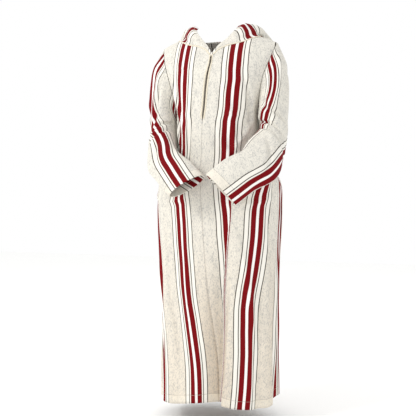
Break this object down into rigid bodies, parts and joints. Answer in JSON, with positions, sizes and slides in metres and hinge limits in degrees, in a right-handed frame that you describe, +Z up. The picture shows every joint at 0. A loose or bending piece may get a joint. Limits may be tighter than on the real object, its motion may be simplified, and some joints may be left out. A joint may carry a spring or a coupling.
{
  "type": "djellaba robe",
  "caption": "Long hooded robe of striped cloth, worn and hollow, with long sleeves, a hood lying open behind, side slits and a short front zip with a hinged pull tab",
  "frame": {"origin": "the base of the neck, level with the top of the shoulders, where the wearer's shoulders hold the robe", "axes": "+Z up along the body, -Y the robe's front, +X the wearer's left"},
  "size_m": [0.5626, 0.479, 1.474],
  "materials": {
    "striped_cloth": "woven cloth in off-white with lengthwise crimson, white and thin grey-brown stripes",
    "braid": "cream braid sewn flat",
    "zip_tape": "woven tape",
    "zip_metal": "dark lacquered die-cast metal"
  },
  "bodies": {
    "robe": {"front_left": "striped_cloth", "front_right": "striped_cloth", "back": "striped_cloth", "sleeve_left": "striped_cloth", "sleeve_right": "striped_cloth", "hood": "striped_cloth", "neck_braid_left": "braid", "neck_braid_right": "braid", "front_braid_left": "braid", "front_braid_right": "braid", "zip_tape_left": "zip_tape", "zip_tape_right": "zip_tape", "zip_slider": "zip_metal"},
    "pull_tab": {"zip_pull": "zip_metal"}
  },
  "joints": [
    {"name": "pull_tab_hinge", "type": "hinge", "parent": "robe", "child": "pull_tab", "pos_m": [0, -0.11646, -0.07756], "axis": [-1, 0, 0], "range_deg": [0, 110]}
  ]
}
